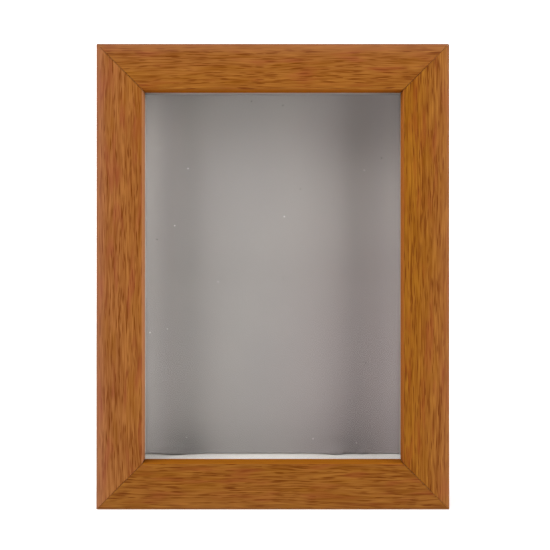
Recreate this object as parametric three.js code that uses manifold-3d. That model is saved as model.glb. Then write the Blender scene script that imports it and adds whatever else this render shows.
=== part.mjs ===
// Back-loading shadow box for a 5 x 7 inch glass: four mitred, foil-wrapped rails around a deep glazed
// space, with a removable back set that carries the display board.
// Millimetres. +X is the viewer's right, -Y faces the viewer, +Z is up. The origin is the middle of the
// underside of the whole object.
import * as THREE from "three";
import { mergeVertices } from "three/addons/utils/BufferGeometryUtils.js";
import Module from "manifold-3d";

const wasm = await Module();
wasm.setup();

// Glass: the standard size that every other width and height follows from.
const GLASS_WIDTH = 127;
const GLASS_HEIGHT = 178;
const GLASS_THICKNESS = 2;

// Fits. CLEARANCE separates pieces that touch, REBATE_PLAY is the room all round the glass.
const CLEARANCE = 0.3;
const REBATE_PLAY = 0.5;
const MITRE_GAP = 0.15;

// Rail section: a deep L whose lip covers the edge of the glass.
const RAIL_WIDTH = 21;
const RAIL_DEPTH = 38;
const LIP_WIDTH = 5;
const LIP_THICKNESS = 10;
const OUTER_ARRIS_RADIUS = 1.3;
const INNER_ARRIS_RADIUS = 0.8;
const ARRIS_SEGMENTS = 3;
const WALL_THICKNESS = RAIL_WIDTH - LIP_WIDTH;

// The stack behind the lip, front to back. The facing card lies on the board, between the spacers.
const SPACER_THICKNESS = 2.5;
const SPACER_DEPTH = 18.3;
const FACING_THICKNESS = 0.5;
const BOARD_THICKNESS = 3;
const BACK_THICKNESS = 3;
const THUMB_NOTCH_RADIUS = 9;
const NOTCH_SEGMENTS = 8;

// V-nails, two across each mitre, driven in from the rear face.
const V_NAIL_LEG = 4.5;
const V_NAIL_THICKNESS = 0.6;
const V_NAIL_HEIGHT = 10;
const V_NAIL_SUNK = 0.2;
const V_NAIL_INSETS = [7.8, 13.4];

// Turn buttons on the side rails and the screws they swing on.
const BUTTON_REACH = 17;
const BUTTON_TAIL = 4.5;
const BUTTON_WIDTH = 9;
const BUTTON_TIP_WIDTH = 6;
const BUTTON_THICKNESS = 0.8;
const BUTTON_SEGMENTS = 8;
const BUTTON_FROM_MIDDLE = 50;
const SCREW_SHANK_RADIUS = 1.5;
const SCREW_HEAD_RADIUS = 3;
const SCREW_HEAD_HEIGHT = 1.5;
const SCREW_LENGTH = 12;
const SCREW_POINT = 2.5;
const SCREW_SEGMENTS = 12;

// Sawtooth hangers and their nails.
const HANGER_LENGTH = 44;
const HANGER_WIDTH = 9;
const HANGER_THICKNESS = 0.8;
const HANGER_RISE = 1.3;
const HANGER_RAISED_LENGTH = 27;
const HANGER_JOGGLE = 2;
const HANGER_TEETH = 9;
const HANGER_TOOTH_PITCH = 2.4;
const HANGER_TOOTH_DEPTH = 1.5;
const HANGER_END_RADIUS = 2;
const HANGER_HOLE_INSET = 3.6;
const HANGER_HOLE_SEGMENTS = 6;
const NAIL_SHANK_RADIUS = 0.7;
const NAIL_HEAD_RADIUS = 1.7;
const NAIL_HEAD_HEIGHT = 0.5;
const NAIL_LENGTH = 10;
const NAIL_POINT = 1.5;
const NAIL_SEGMENTS = 8;

// The domed head of a screw or nail, from rim to crown, as shares of its radius and height.
const HEAD_DOME = [
  [1, 0],
  [0.9, 0.6],
  [0.55, 0.92],
  [0, 1],
];

// Wall bumpers near the four rear corners.
const BUMPER_RADIUS = 5;
const BUMPER_HEIGHT = 3.2;
const BUMPER_EDGE = 0.8;
const BUMPER_FROM_END = 25;
const BUMPER_SEGMENTS = 16;

// Derived sizes.
const REBATE_WIDTH = GLASS_WIDTH + 2 * REBATE_PLAY;
const REBATE_HEIGHT = GLASS_HEIGHT + 2 * REBATE_PLAY;
const OUTER_WIDTH = REBATE_WIDTH + 2 * WALL_THICKNESS;
const OUTER_HEIGHT = REBATE_HEIGHT + 2 * WALL_THICKNESS;
const OVERALL_DEPTH = RAIL_DEPTH + CLEARANCE + BUMPER_HEIGHT;
const SPACER_SHARE = 2 * (SPACER_THICKNESS + 2 * CLEARANCE);
const FACING_WIDTH = REBATE_WIDTH - SPACER_SHARE;
const FACING_HEIGHT = REBATE_HEIGHT - SPACER_SHARE;

// Places along Y, from the front face of the rails at the lowest Y.
const FRONT_Y = -OVERALL_DEPTH / 2;
const REAR_Y = FRONT_Y + RAIL_DEPTH;
const GLASS_Y = FRONT_Y + LIP_THICKNESS + CLEARANCE;
const SPACER_Y = GLASS_Y + GLASS_THICKNESS + CLEARANCE;
const BOARD_Y = SPACER_Y + SPACER_DEPTH + CLEARANCE;
const FACING_Y = BOARD_Y - CLEARANCE - FACING_THICKNESS;
const BACK_Y = BOARD_Y + BOARD_THICKNESS + CLEARANCE;
const MIDDLE_Z = OUTER_HEIGHT / 2;
const WALL_MIDDLE = WALL_THICKNESS / 2;

const QUARTER_TURN = Math.PI / 2;
const DEPTH_AXIS = new THREE.Vector3(0, 1, 0);
const MERGE_DISTANCE = 1e-3;

const materials = {
  foil: { color: 0x9d5c24, roughness: 0.5, metalness: 0 },
  glass: { color: 0xf4f8f6, roughness: 0.05, metalness: 0, transparent: true, opacity: 0.3 },
  spacer: { color: 0xe6e2da, roughness: 0.9, metalness: 0 },
  facing: { color: 0x9e9995, roughness: 0.95, metalness: 0 },
  board: { color: 0xb9ab93, roughness: 0.9, metalness: 0 },
  back: { color: 0x6f4a2c, roughness: 0.7, metalness: 0 },
  steel: { color: 0xb4b6b8, roughness: 0.35, metalness: 1 },
  brass: { color: 0xb08d48, roughness: 0.35, metalness: 1 },
  rubber: { color: 0x2e2c2a, roughness: 0.8, metalness: 0 },
};

const shadowBox = new THREE.Group();

function addPiece(name, geometry, material, position = [0, 0, 0], turn = 0) {
  const mesh = new THREE.Mesh(geometry, new THREE.MeshStandardMaterial(materials[material]));
  mesh.name = name;
  mesh.position.set(...position);
  mesh.rotation.y = turn;
  shadowBox.add(mesh);
  return mesh;
}

function solidFrom(geometry) {
  const bare = geometry.clone();
  bare.deleteAttribute("normal");
  bare.deleteAttribute("uv");
  const merged = mergeVertices(bare, MERGE_DISTANCE);
  const mesh = new wasm.Mesh({
    numProp: 3,
    vertProperties: merged.attributes.position.array,
    triVerts: new Uint32Array(merged.index.array),
  });
  return new wasm.Manifold(mesh);
}

function geometryFrom(solid) {
  const mesh = solid.getMesh();
  const geometry = new THREE.BufferGeometry();
  geometry.setAttribute("position", new THREE.BufferAttribute(mesh.vertProperties, mesh.numProp));
  geometry.setIndex(new THREE.BufferAttribute(mesh.triVerts, 1));
  geometry.computeVertexNormals();
  return geometry;
}

function cutAway(geometry, cutters) {
  let solid = solidFrom(geometry);
  for (const cutter of cutters) {
    solid = solid.subtract(solidFrom(cutter));
  }
  return geometryFrom(solid);
}

// A flat plate from an outline drawn in X and Z, from y = 0 back to its thickness.
function plate(outline, thickness, curveSegments = BUTTON_SEGMENTS) {
  const options = { depth: thickness, bevelEnabled: false, curveSegments };
  const geometry = new THREE.ExtrudeGeometry(outline, options);
  geometry.rotateX(QUARTER_TURN);
  geometry.translate(0, thickness, 0);
  return geometry;
}

function outlineThrough(points) {
  return new THREE.Shape(points.map(([x, z]) => new THREE.Vector2(x, z)));
}

function block(width, depth, height) {
  return new THREE.BoxGeometry(width, depth, height).translate(0, depth / 2, 0);
}

// The rail's section: x runs from the outer edge inwards, y from the front face back.
function railSection() {
  const section = new THREE.Shape();
  const innerArrisX = RAIL_WIDTH - INNER_ARRIS_RADIUS;
  section.moveTo(0, RAIL_DEPTH);
  section.lineTo(0, OUTER_ARRIS_RADIUS);
  section.absarc(
    OUTER_ARRIS_RADIUS,
    OUTER_ARRIS_RADIUS,
    OUTER_ARRIS_RADIUS,
    Math.PI,
    3 * QUARTER_TURN,
    false,
  );
  section.absarc(
    innerArrisX,
    INNER_ARRIS_RADIUS,
    INNER_ARRIS_RADIUS,
    3 * QUARTER_TURN,
    4 * QUARTER_TURN,
    false,
  );
  section.lineTo(RAIL_WIDTH, LIP_THICKNESS);
  section.lineTo(WALL_THICKNESS, LIP_THICKNESS);
  section.lineTo(WALL_THICKNESS, RAIL_DEPTH);
  section.closePath();
  return section;
}

// A rail with both ends cut at 45 degrees, placed in the object's frame. The inward direction points
// from its outer edge to the middle of the frame.
function rail(length, inward, outerEdge) {
  const options = { depth: length, bevelEnabled: false, curveSegments: ARRIS_SEGMENTS };
  const geometry = new THREE.ExtrudeGeometry(railSection(), options);
  geometry.translate(0, 0, -length / 2);
  const position = geometry.attributes.position;
  for (let i = 0; i < position.count; i += 1) {
    const mitred = length / 2 - position.getX(i) - MITRE_GAP;
    position.setZ(i, Math.sign(position.getZ(i)) * mitred);
  }
  const along = new THREE.Vector3().crossVectors(inward, DEPTH_AXIS);
  const place = new THREE.Matrix4().makeBasis(inward, DEPTH_AXIS, along);
  place.setPosition(outerEdge.x, FRONT_Y, outerEdge.z);
  return geometry.applyMatrix4(place);
}

// The L of a V-nail seen from behind, grown by a margin for the slot that it sits in.
function vNailOutline(margin) {
  const near = -margin;
  const inner = V_NAIL_THICKNESS + margin;
  const far = V_NAIL_LEG + margin;
  return outlineThrough([
    [near, near],
    [far, near],
    [far, inner],
    [inner, inner],
    [inner, far],
    [near, far],
  ]);
}

// The four corners, each with the quarter turn that points a V-nail's legs to the outside.
const corners = [
  { side: 1, level: 1 },
  { side: 1, level: -1 },
  { side: -1, level: -1 },
  { side: -1, level: 1 },
].map((corner, index) => ({ ...corner, turn: index * QUARTER_TURN }));

function vNailPlaces() {
  const places = [];
  for (const { side, level, turn } of corners) {
    for (const inset of V_NAIL_INSETS) {
      const x = side * (OUTER_WIDTH / 2 - inset);
      const z = MIDDLE_Z + level * (OUTER_HEIGHT / 2 - inset);
      places.push({ x, z, turn });
    }
  }
  return places;
}

function vNailSlot({ x, z, turn }) {
  const depth = V_NAIL_SUNK + V_NAIL_HEIGHT + CLEARANCE;
  const slot = plate(vNailOutline(CLEARANCE), depth + CLEARANCE);
  return slot.rotateY(turn).translate(x, REAR_Y - depth, z);
}

// A screw or nail on its own axis, y = 0 at the underside of the head, shank towards -Y.
function pinProfile(shankRadius, length, point, headRadius, headHeight) {
  return [
    [0, -length],
    [shankRadius, point - length],
    [shankRadius, 0],
    ...HEAD_DOME.map(([across, up]) => [headRadius * across, headHeight * up]),
  ].map(([radius, y]) => new THREE.Vector2(radius, y));
}

function screw() {
  const profile = pinProfile(
    SCREW_SHANK_RADIUS,
    SCREW_LENGTH,
    SCREW_POINT,
    SCREW_HEAD_RADIUS,
    SCREW_HEAD_HEIGHT,
  );
  return new THREE.LatheGeometry(profile, SCREW_SEGMENTS);
}

function nail() {
  const profile = pinProfile(
    NAIL_SHANK_RADIUS,
    NAIL_LENGTH,
    NAIL_POINT,
    NAIL_HEAD_RADIUS,
    NAIL_HEAD_HEIGHT,
  );
  return new THREE.LatheGeometry(profile, NAIL_SEGMENTS);
}

function hole(radius, depth, x, z, segments) {
  const cutter = new THREE.CylinderGeometry(radius, radius, depth + CLEARANCE, segments);
  return cutter.translate(x, REAR_Y - depth / 2 + CLEARANCE / 2, z);
}

// Where the turn buttons pivot: two on each side rail, over the middle of its wall.
function buttonPlaces() {
  const places = [];
  for (const side of [-1, 1]) {
    for (const level of [1, -1]) {
      const x = side * (OUTER_WIDTH / 2 - WALL_MIDDLE);
      const z = MIDDLE_Z + level * BUTTON_FROM_MIDDLE;
      places.push({ x, z });
    }
  }
  return places;
}

function hangerPlaces() {
  return [
    { name: "hanger_top", x: 0, z: OUTER_HEIGHT - WALL_MIDDLE, turn: 0 },
    { name: "hanger_side", x: WALL_MIDDLE - OUTER_WIDTH / 2, z: MIDDLE_Z, turn: -QUARTER_TURN },
  ];
}

function hangerNailPlaces() {
  const reach = HANGER_LENGTH / 2 - HANGER_HOLE_INSET;
  const places = [];
  for (const hanger of hangerPlaces()) {
    for (const end of [-1, 1]) {
      const x = hanger.x + end * reach * Math.cos(hanger.turn);
      const z = hanger.z - end * reach * Math.sin(hanger.turn);
      places.push({ x, z });
    }
  }
  return places;
}

function railCutters() {
  const slots = vNailPlaces().map(vNailSlot);
  const screwHoles = buttonPlaces().map(({ x, z }) =>
    hole(SCREW_SHANK_RADIUS + CLEARANCE, SCREW_LENGTH, x, z, SCREW_SEGMENTS),
  );
  const nailHoles = hangerNailPlaces().map(({ x, z }) =>
    hole(NAIL_SHANK_RADIUS + CLEARANCE, NAIL_LENGTH, x, z, NAIL_SEGMENTS),
  );
  return [...slots, ...screwHoles, ...nailHoles];
}

function addRails() {
  const up = new THREE.Vector3(0, 0, 1);
  const right = new THREE.Vector3(1, 0, 0);
  const middle = new THREE.Vector3(0, 0, MIDDLE_Z);
  const rails = [
    { name: "bottom_rail", length: OUTER_WIDTH, inward: up, reach: OUTER_HEIGHT / 2 },
    { name: "top_rail", length: OUTER_WIDTH, inward: up.clone().negate(), reach: OUTER_HEIGHT / 2 },
    { name: "left_rail", length: OUTER_HEIGHT, inward: right, reach: OUTER_WIDTH / 2 },
    { name: "right_rail", length: OUTER_HEIGHT, inward: right.clone().negate(), reach: OUTER_WIDTH / 2 },
  ];
  const cutters = railCutters();
  for (const { name, length, inward, reach } of rails) {
    const outerEdge = middle.clone().addScaledVector(inward, -reach);
    addPiece(name, cutAway(rail(length, inward, outerEdge), cutters), "foil");
  }
}

function addVNails() {
  const outline = vNailOutline(0);
  vNailPlaces().forEach(({ x, z, turn }, index) => {
    const y = REAR_Y - V_NAIL_SUNK - V_NAIL_HEIGHT;
    addPiece(`v_nail_${index + 1}`, plate(outline, V_NAIL_HEIGHT), "steel", [x, y, z], turn);
  });
}

function addGlazing() {
  const pane = block(GLASS_WIDTH, GLASS_THICKNESS, GLASS_HEIGHT);
  addPiece("glass_pane", pane, "glass", [0, GLASS_Y, MIDDLE_Z]);
}

// The top and bottom strips run the full width of the rebate, and the side strips stand between them.
function addSpacers() {
  const offset = CLEARANCE + SPACER_THICKNESS / 2;
  const level = REBATE_HEIGHT / 2 - offset;
  const side = REBATE_WIDTH / 2 - offset;
  const across = block(REBATE_WIDTH - 2 * CLEARANCE, SPACER_DEPTH, SPACER_THICKNESS);
  const upright = block(SPACER_THICKNESS, SPACER_DEPTH, REBATE_HEIGHT - SPACER_SHARE);
  addPiece("spacer_top", across, "spacer", [0, SPACER_Y, MIDDLE_Z + level]);
  addPiece("spacer_bottom", across, "spacer", [0, SPACER_Y, MIDDLE_Z - level]);
  addPiece("spacer_left", upright, "spacer", [-side, SPACER_Y, MIDDLE_Z]);
  addPiece("spacer_right", upright, "spacer", [side, SPACER_Y, MIDDLE_Z]);
}

// The back panel: cut to the glass size, with a half-round thumb notch in its top and bottom edges.
function backOutline() {
  const outline = new THREE.Shape();
  const x = GLASS_WIDTH / 2;
  const z = GLASS_HEIGHT / 2;
  outline.moveTo(-x, -z);
  outline.lineTo(-THUMB_NOTCH_RADIUS, -z);
  outline.absarc(0, -z, THUMB_NOTCH_RADIUS, Math.PI, 0, true);
  outline.lineTo(x, -z);
  outline.lineTo(x, z);
  outline.lineTo(THUMB_NOTCH_RADIUS, z);
  outline.absarc(0, z, THUMB_NOTCH_RADIUS, 0, Math.PI, true);
  outline.lineTo(-x, z);
  outline.closePath();
  return outline;
}

function addBackSet() {
  const facing = block(FACING_WIDTH, FACING_THICKNESS, FACING_HEIGHT);
  const board = block(GLASS_WIDTH, BOARD_THICKNESS, GLASS_HEIGHT);
  const back = plate(backOutline(), BACK_THICKNESS, NOTCH_SEGMENTS);
  addPiece("facing_card", facing, "facing", [0, FACING_Y, MIDDLE_Z]);
  addPiece("display_board", board, "board", [0, BOARD_Y, MIDDLE_Z]);
  addPiece("back_panel", back, "back", [0, BACK_Y, MIDDLE_Z]);
}

// A turn button hanging down from its screw: a round tail about the hole, tapering to a rounded tip.
function buttonOutline() {
  const outline = new THREE.Shape();
  const tailRadius = BUTTON_WIDTH / 2;
  const tipRadius = BUTTON_TIP_WIDTH / 2;
  outline.absarc(0, BUTTON_TAIL - tailRadius, tailRadius, 0, Math.PI, false);
  outline.absarc(0, tipRadius - BUTTON_REACH, tipRadius, Math.PI, 2 * Math.PI, false);
  outline.closePath();
  const bore = new THREE.Path();
  bore.absarc(0, 0, SCREW_SHANK_RADIUS + CLEARANCE, 0, 2 * Math.PI, true);
  outline.holes.push(bore);
  return outline;
}

function addTurnButtons() {
  const button = plate(buttonOutline(), BUTTON_THICKNESS);
  const buttonY = REAR_Y + CLEARANCE;
  const headY = buttonY + BUTTON_THICKNESS + CLEARANCE;
  buttonPlaces().forEach(({ x, z }, index) => {
    addPiece(`turn_button_${index + 1}`, button, "steel", [x, buttonY, z]);
    addPiece(`button_screw_${index + 1}`, screw(), "steel", [x, headY, z]);
  });
}

// The hanger seen from behind: rounded ends, and teeth along the lower edge of its raised middle.
function hangerOutline() {
  const outline = new THREE.Shape();
  const x = HANGER_LENGTH / 2;
  const z = HANGER_WIDTH / 2;
  const corner = HANGER_END_RADIUS;
  const teethStart = (-HANGER_TEETH * HANGER_TOOTH_PITCH) / 2;
  outline.absarc(corner - x, corner - z, corner, Math.PI, 3 * QUARTER_TURN, false);
  for (let tooth = 0; tooth < HANGER_TEETH; tooth += 1) {
    const toothX = teethStart + tooth * HANGER_TOOTH_PITCH;
    outline.lineTo(toothX, -z);
    outline.lineTo(toothX + HANGER_TOOTH_PITCH / 2, HANGER_TOOTH_DEPTH - z);
  }
  outline.lineTo(-teethStart, -z);
  outline.absarc(x - corner, corner - z, corner, 3 * QUARTER_TURN, 4 * QUARTER_TURN, false);
  outline.absarc(x - corner, z - corner, corner, 0, QUARTER_TURN, false);
  outline.absarc(corner - x, z - corner, corner, QUARTER_TURN, Math.PI, false);
  outline.closePath();
  for (const end of [-1, 1]) {
    const bore = new THREE.Path();
    const boreX = end * (x - HANGER_HOLE_INSET);
    bore.absarc(boreX, 0, NAIL_SHANK_RADIUS + CLEARANCE, 0, 2 * Math.PI, true);
    outline.holes.push(bore);
  }
  return outline;
}

// The hanger seen from above: flat ends, with the middle stood off so that a nail fits behind it.
function hangerProfile() {
  const end = HANGER_LENGTH / 2 + CLEARANCE;
  const raised = HANGER_RAISED_LENGTH / 2;
  const foot = raised + HANGER_JOGGLE;
  const underside = [
    [-end, 0],
    [-foot, 0],
    [-raised, HANGER_RISE],
    [raised, HANGER_RISE],
    [foot, 0],
    [end, 0],
  ];
  const upper = underside.map(([x, y]) => [x, y + HANGER_THICKNESS]).reverse();
  return outlineThrough([...underside, ...upper]);
}

function hanger() {
  const height = HANGER_RISE + HANGER_THICKNESS + 2 * CLEARANCE;
  const seenFromBehind = plate(hangerOutline(), height, HANGER_HOLE_SEGMENTS);
  seenFromBehind.translate(0, -CLEARANCE, 0);
  const width = HANGER_WIDTH + 2 * CLEARANCE;
  const options = { depth: width, bevelEnabled: false };
  const seenFromAbove = new THREE.ExtrudeGeometry(hangerProfile(), options);
  seenFromAbove.translate(0, 0, -width / 2);
  return geometryFrom(solidFrom(seenFromBehind).intersect(solidFrom(seenFromAbove)));
}

function addHangers() {
  const plateY = REAR_Y + CLEARANCE;
  for (const { name, x, z, turn } of hangerPlaces()) {
    addPiece(name, hanger(), "steel", [x, plateY, z], turn);
  }
  const headY = plateY + HANGER_THICKNESS + CLEARANCE;
  hangerNailPlaces().forEach(({ x, z }, index) => {
    addPiece(`hanger_nail_${index + 1}`, nail(), "brass", [x, headY, z]);
  });
}

function bumper() {
  const profile = [
    [0, 0],
    [BUMPER_RADIUS, 0],
    [BUMPER_RADIUS, BUMPER_HEIGHT - BUMPER_EDGE],
    [BUMPER_RADIUS - BUMPER_EDGE, BUMPER_HEIGHT],
    [0, BUMPER_HEIGHT],
  ].map(([radius, y]) => new THREE.Vector2(radius, y));
  return new THREE.LatheGeometry(profile, BUMPER_SEGMENTS);
}

function addBumpers() {
  corners.forEach(({ side, level }, index) => {
    const x = side * (OUTER_WIDTH / 2 - WALL_MIDDLE);
    const z = MIDDLE_Z + level * (OUTER_HEIGHT / 2 - BUMPER_FROM_END);
    addPiece(`bumper_${index + 1}`, bumper(), "rubber", [x, REAR_Y + CLEARANCE, z]);
  });
}

addRails();
addVNails();
addGlazing();
addSpacers();
addBackSet();
addTurnButtons();
addHangers();
addBumpers();

export default shadowBox;
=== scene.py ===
"""Looks for the shadow box: foil-wrapped mitred rails, glazing, white liner strips, grey facing card and
the hardware behind them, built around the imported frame. Lengths named *_MM are millimetres, and all
others are metres in the row frame."""

import math

import bmesh
import bpy
from mathutils import Matrix, Vector, noise


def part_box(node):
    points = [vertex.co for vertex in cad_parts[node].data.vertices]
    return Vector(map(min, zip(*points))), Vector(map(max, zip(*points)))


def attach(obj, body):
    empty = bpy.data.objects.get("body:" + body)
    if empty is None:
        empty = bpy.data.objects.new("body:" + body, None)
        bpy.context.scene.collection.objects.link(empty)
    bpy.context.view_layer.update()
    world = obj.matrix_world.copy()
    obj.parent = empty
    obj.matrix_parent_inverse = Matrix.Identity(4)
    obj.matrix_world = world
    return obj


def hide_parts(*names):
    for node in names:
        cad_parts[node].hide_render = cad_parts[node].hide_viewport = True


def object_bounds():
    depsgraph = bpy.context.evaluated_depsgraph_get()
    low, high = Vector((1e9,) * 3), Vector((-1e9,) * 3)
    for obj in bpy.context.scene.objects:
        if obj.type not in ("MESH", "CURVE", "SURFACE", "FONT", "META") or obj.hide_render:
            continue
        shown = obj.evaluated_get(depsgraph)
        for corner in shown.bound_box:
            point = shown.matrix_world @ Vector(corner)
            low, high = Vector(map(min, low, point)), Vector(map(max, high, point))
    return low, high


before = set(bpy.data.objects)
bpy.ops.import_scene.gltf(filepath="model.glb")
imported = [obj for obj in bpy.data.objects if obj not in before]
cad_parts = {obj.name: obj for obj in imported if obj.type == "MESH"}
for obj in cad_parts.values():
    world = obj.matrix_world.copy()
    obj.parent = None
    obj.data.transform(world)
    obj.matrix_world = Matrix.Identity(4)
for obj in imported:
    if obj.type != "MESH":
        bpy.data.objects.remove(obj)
cad_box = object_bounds()

MM = 0.001
BACK = Vector((0, 1, 0))
RIGHT = Vector((1, 0, 0))
UP = Vector((0, 0, 1))

# Rail section, in millimetres: distances from the outer edge and from the front face. The foil goes round
# the rear arris by FOIL_WRAP_MM.
RAIL_WIDTH_MM = 21.0
RAIL_DEPTH_MM = 38.0
WALL_MM = 16.0
LIP_MM = 10.0
OUTER_ARRIS_MM = 1.3
INNER_ARRIS_MM = 0.8
SMALL_ARRIS_MM = 0.3
FOIL_WRAP_MM = 3.0
FOIL_MM = 0.12
FOIL_CUT_MM = 0.02
MITRE_BEVEL_MM = 0.1

# Mesh limits: how sharp an edge stays, how sharp an edge gets a bevel, and how close points are joined.
SMOOTH_LIMIT = math.radians(32)
BEVEL_LIMIT = math.radians(50)
WELD = 1e-7

# Camera: level, a little above the object's middle and to its left. VIEW_WIDTH is how wide the picture is at
# the object's front, and VIEW_DROP and VIEW_LEFT place the object in it, as shares of that width.
CAMERA_DISTANCE = 445 * MM
CAMERA_RISE = 16 * MM
CAMERA_ASIDE = -2 * MM
VIEW_WIDTH = 248.6 * MM
SENSOR_WIDTH_MM = 36.0
VIEW_DROP = 0.0030
VIEW_LEFT = 0.0039


# ---- mesh helpers ----


def link_mesh(name, bm, *materials):
    """Turns a bmesh into an object in the scene."""
    mesh = bpy.data.meshes.new(name)
    bm.to_mesh(mesh)
    bm.free()
    for material in materials:
        mesh.materials.append(material)
    made = bpy.data.objects.new(name, mesh)
    bpy.context.collection.objects.link(made)
    return made


def finish_piece(name, bm, materials, body, node):
    """Turns a bmesh into a piece that rides on a body and stands for a node, with sharp edges kept sharp."""
    bmesh.ops.remove_doubles(bm, verts=bm.verts, dist=WELD)
    bmesh.ops.dissolve_degenerate(bm, edges=bm.edges, dist=WELD)
    bmesh.ops.recalc_face_normals(bm, faces=bm.faces)
    mark_smooth(bm)
    piece = link_mesh(name, bm, *materials)
    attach(piece, body)
    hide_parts(node)
    return piece


def mark_smooth(bm):
    for face in bm.faces:
        face.smooth = True
    for edge in bm.edges:
        if len(edge.link_faces) == 2:
            edge.smooth = edge.calc_face_angle(math.pi) < SMOOTH_LIMIT


def loft(bm, rings, closed_section=True, material_of=None):
    """Joins rings of the same number of vertices with faces."""
    count = len(rings[0])
    steps = count if closed_section else count - 1
    for ring, after in zip(rings, rings[1:]):
        for k in range(steps):
            j = (k + 1) % count
            face = bm.faces.new((ring[k], ring[j], after[j], after[k]))
            if material_of:
                face.material_index = material_of(k)


def lathe(bm, profile, origin, axis, segments, radius_at=None):
    """Turns a profile of (radius, height) about an axis. The first and last points are on the axis."""
    side = axis.orthogonal().normalized()
    other = axis.cross(side)
    rings = []
    for radius, height in profile[1:-1]:
        ring = []
        for k in range(segments):
            angle = 2 * math.pi * k / segments
            r = radius_at(radius, height, k / segments) if radius_at else radius
            point = origin + axis * height + (side * math.cos(angle) + other * math.sin(angle)) * r
            ring.append(bm.verts.new(point))
        rings.append(ring)
    loft(bm, rings)
    for (_, height), ring in ((profile[0], rings[0]), (profile[-1], rings[-1])):
        tip = bm.verts.new(origin + axis * height)
        for k in range(segments):
            bm.faces.new((tip, ring[k], ring[(k + 1) % segments]))


def arc(centre, radius, start, end, steps):
    """Points on a round corner, angles in degrees."""
    points = []
    for k in range(steps + 1):
        angle = math.radians(start + (end - start) * k / steps)
        points.append((centre[0] + radius * math.cos(angle), centre[1] + radius * math.sin(angle)))
    return points


def thicken(bm, offset):
    """Closes an open sheet into a solid by copying it along an offset."""
    faces = list(bm.faces)
    copy = {vert: bm.verts.new(vert.co + offset) for vert in list(bm.verts)}
    rim = [edge for edge in bm.edges if edge.is_boundary]
    for face in faces:
        bm.faces.new([copy[vert] for vert in reversed(face.verts)])
    for edge in rim:
        a, b = edge.verts
        bm.faces.new((a, b, copy[b], copy[a]))


def bevel_sharp(bm, width, segments=2):
    bmesh.ops.recalc_face_normals(bm, faces=bm.faces)
    sharp = [e for e in bm.edges if len(e.link_faces) == 2 and e.calc_face_angle(0) > BEVEL_LIMIT]
    bmesh.ops.bevel(bm, geom=sharp, offset=width, segments=segments, profile=0.5, affect="EDGES")


def box_grid(bm, low, high, cells):
    """A box whose faces are cut into cells, ready to be bent or roughened."""
    bmesh.ops.create_cube(bm, size=1)
    size = high - low
    for vert in bm.verts:
        vert.co = low + Vector(((vert.co[i] + 0.5) * size[i] for i in range(3)))
    for axis, count in enumerate(cells):
        normal = Vector((0, 0, 0))
        normal[axis] = 1
        for k in range(1, count):
            place = low.copy()
            place[axis] = low[axis] + size[axis] * k / count
            geometry = bm.verts[:] + bm.edges[:] + bm.faces[:]
            bmesh.ops.bisect_plane(bm, geom=geometry, plane_co=place, plane_no=normal)


def carve(piece, cutter):
    """Cuts one object's shape out of a piece."""
    modifier = piece.modifiers.new("carve", "BOOLEAN")
    modifier.operation = "DIFFERENCE"
    modifier.solver = "EXACT"
    modifier.object = cutter
    graph = bpy.context.evaluated_depsgraph_get()
    carved = bpy.data.meshes.new_from_object(piece.evaluated_get(graph))
    piece.modifiers.clear()
    piece.data = carved


# ---- material helpers ----


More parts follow.
